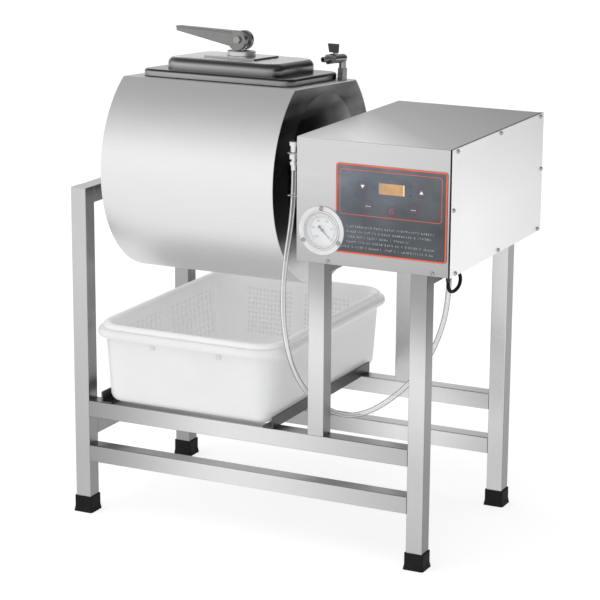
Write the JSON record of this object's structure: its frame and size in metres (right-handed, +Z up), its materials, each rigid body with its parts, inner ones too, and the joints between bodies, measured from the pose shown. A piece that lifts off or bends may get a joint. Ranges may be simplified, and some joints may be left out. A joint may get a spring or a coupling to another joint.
{
  "type": "vacuum meat tumbler",
  "caption": "Tabletop-height vacuum tumbler: a drum with a clamped hatch turns on a square-tube frame beside a drive housing, over a tub with a drain basket.",
  "frame": {"origin": "floor under the middle of the whole machine without its cords", "axes": "+Z up, +X along the drum's axle towards the drive housing, -Y is the control side"},
  "size_m": [0.7226, 0.49, 0.8571],
  "materials": {
    "tube_steel": "satin stainless tube",
    "sheet_steel": "fine satin stainless sheet",
    "lid_steel": "pressed stainless, semi-polished",
    "cast_metal": "cast, lightly polished",
    "cast_iron_grey": "painted casting",
    "chrome": "bright",
    "runner_steel": "dark satin",
    "black_rubber": "matt moulded",
    "seal_rubber": "white food-grade silicone",
    "black_plastic": "moulded",
    "white_plastic": "translucent polypropylene",
    "clear_hose": "clear soft tube",
    "panel_film": "printed film",
    "button_film": "printed film",
    "amber_lens": "clear amber",
    "gauge_white": "white enamel",
    "dial_white": "matt white print",
    "needle_black": "matt black",
    "gauge_glass": "flat window",
    "drive_paint": "machine enamel",
    "drive_alloy": "die cast",
    "board_green": "circuit board",
    "red_pipe": "soft pipe"
  },
  "bodies": {
    "root": {"left_end_frame": "tube_steel", "drive_bay_frame": "tube_steel", "front_rails": "tube_steel", "rear_rails": "tube_steel", "rubber_feet": "black_rubber", "tub_runners": "runner_steel", "bearing_block": "cast_iron_grey", "bearing_bolts": "chrome", "drive_bracket": "tube_steel", "drive_bearing": "cast_iron_grey", "gearbox": "drive_alloy", "drive_motor": "drive_paint", "vacuum_pump": "drive_alloy", "housing": "sheet_steel", "cover_gasket": "black_rubber", "side_cover": "sheet_steel", "housing_screws": "chrome", "base_pads": "black_rubber", "control_panel": "panel_film", "display_lenses": "amber_lens", "control_board": "board_green", "gauge_case": "gauge_white", "gauge_dial": "dial_white", "gauge_lens": "gauge_glass", "hose_fitting": "chrome", "vacuum_hose": "clear_hose", "hose_coupler": "chrome", "hose_hooks": "chrome", "lead_gland": "black_plastic", "mains_lead": "black_rubber", "lead_coil": "black_rubber", "mains_plug": "black_plastic", "lead_clips": "chrome", "base_plate": "sheet_steel", "vacuum_line": "red_pipe"},
    "drum": {"drum_shell": "sheet_steel", "hatch_frame": "sheet_steel", "drum_ends": "sheet_steel", "stub_axle": "chrome", "bearing_insert": "chrome", "drive_shaft": "chrome", "mixing_ribs": "sheet_steel", "valve_body": "chrome"},
    "lid": {"lid": "lid_steel", "lid_seal": "seal_rubber", "lid_plate": "lid_steel"},
    "clamp_swivel": {"clamp_boss": "cast_metal"},
    "clamp_pull": {"clamp_rod": "chrome", "clamp_bar": "sheet_steel"},
    "lever": {"clamp_lever": "cast_metal", "lever_pin": "chrome"},
    "valve_tap": {"valve_handle": "black_plastic"},
    "needle": {"gauge_needle": "needle_black"},
    "button_down": {"button_down": "button_film"},
    "button_up": {"button_up": "button_film"},
    "button_mode": {"button_mode": "button_film"},
    "button_power": {"button_power": "button_film"},
    "button_set": {"button_set": "button_film"},
    "tub": {"catch_tub": "white_plastic"},
    "basket": {"drain_basket": "white_plastic"}
  },
  "joints": [
    {"name": "drum_spin", "type": "hinge", "parent": "root", "child": "drum", "pos_m": [-0.13145, -0.027, 0.621], "axis": [1, 0, 0], "continuous": true},
    {"name": "lid_lift", "type": "slide", "parent": "drum", "child": "lid", "axis": [-0.6561, 0.0453, 0.7533], "range_m": [0, 0.12]},
    {"name": "clamp_turn", "type": "hinge", "parent": "lid", "child": "clamp_swivel", "pos_m": [-0.13145, -0.01554, 0.81166], "axis": [0, 0.06, 0.9982], "range_deg": [0, 90]},
    {"name": "clamp_draw", "type": "slide", "parent": "clamp_swivel", "child": "clamp_pull", "axis": [0, -0.06, -0.9982], "range_m": [0, 0.0045]},
    {"name": "lever_swing", "type": "hinge", "parent": "clamp_pull", "child": "lever", "pos_m": [-0.13145, -0.01384, 0.84001], "axis": [0, 0.9982, -0.06], "range_deg": [0, 100]},
    {"name": "valve_turn", "type": "hinge", "parent": "drum", "child": "valve_tap", "pos_m": [0.01902, 0.04998, 0.80802], "axis": [0, 0.06, 0.9982], "range_deg": [0, 90]},
    {"name": "needle_turn", "type": "hinge", "parent": "root", "child": "needle", "pos_m": [0.1279, -0.2233, 0.5663], "axis": [0, -1, 0], "range_deg": [0, 270], "stiffness_Nm_per_rad": 0.0005, "springref_deg": -11.46},
    {"name": "tub_slide", "type": "slide", "parent": "root", "child": "tub", "axis": [0, -1, 0], "range_m": [0, 0.45]},
    {"name": "basket_lift", "type": "slide", "parent": "tub", "child": "basket", "axis": [0, 0, 1], "range_m": [0, 0.065]},
    {"name": "press_down", "type": "slide", "parent": "root", "child": "button_down", "axis": [0, 1, 0], "range_m": [0, 0.0005], "stiffness_N_per_m": 4000, "springref_m": -0.0002},
    {"name": "press_up", "type": "slide", "parent": "root", "child": "button_up", "axis": [0, 1, 0], "range_m": [0, 0.0005], "stiffness_N_per_m": 4000, "springref_m": -0.0002},
    {"name": "press_mode", "type": "slide", "parent": "root", "child": "button_mode", "axis": [0, 1, 0], "range_m": [0, 0.0005], "stiffness_N_per_m": 4000, "springref_m": -0.0002},
    {"name": "press_power", "type": "slide", "parent": "root", "child": "button_power", "axis": [0, 1, 0], "range_m": [0, 0.0005], "stiffness_N_per_m": 4000, "springref_m": -0.0002},
    {"name": "press_set", "type": "slide", "parent": "root", "child": "button_set", "axis": [0, 1, 0], "range_m": [0, 0.0005], "stiffness_N_per_m": 4000, "springref_m": -0.0002}
  ],
  "couplings": [
    {"joint": "clamp_draw", "follows": "lever_swing", "m_per_rad": 0.0025465}
  ]
}
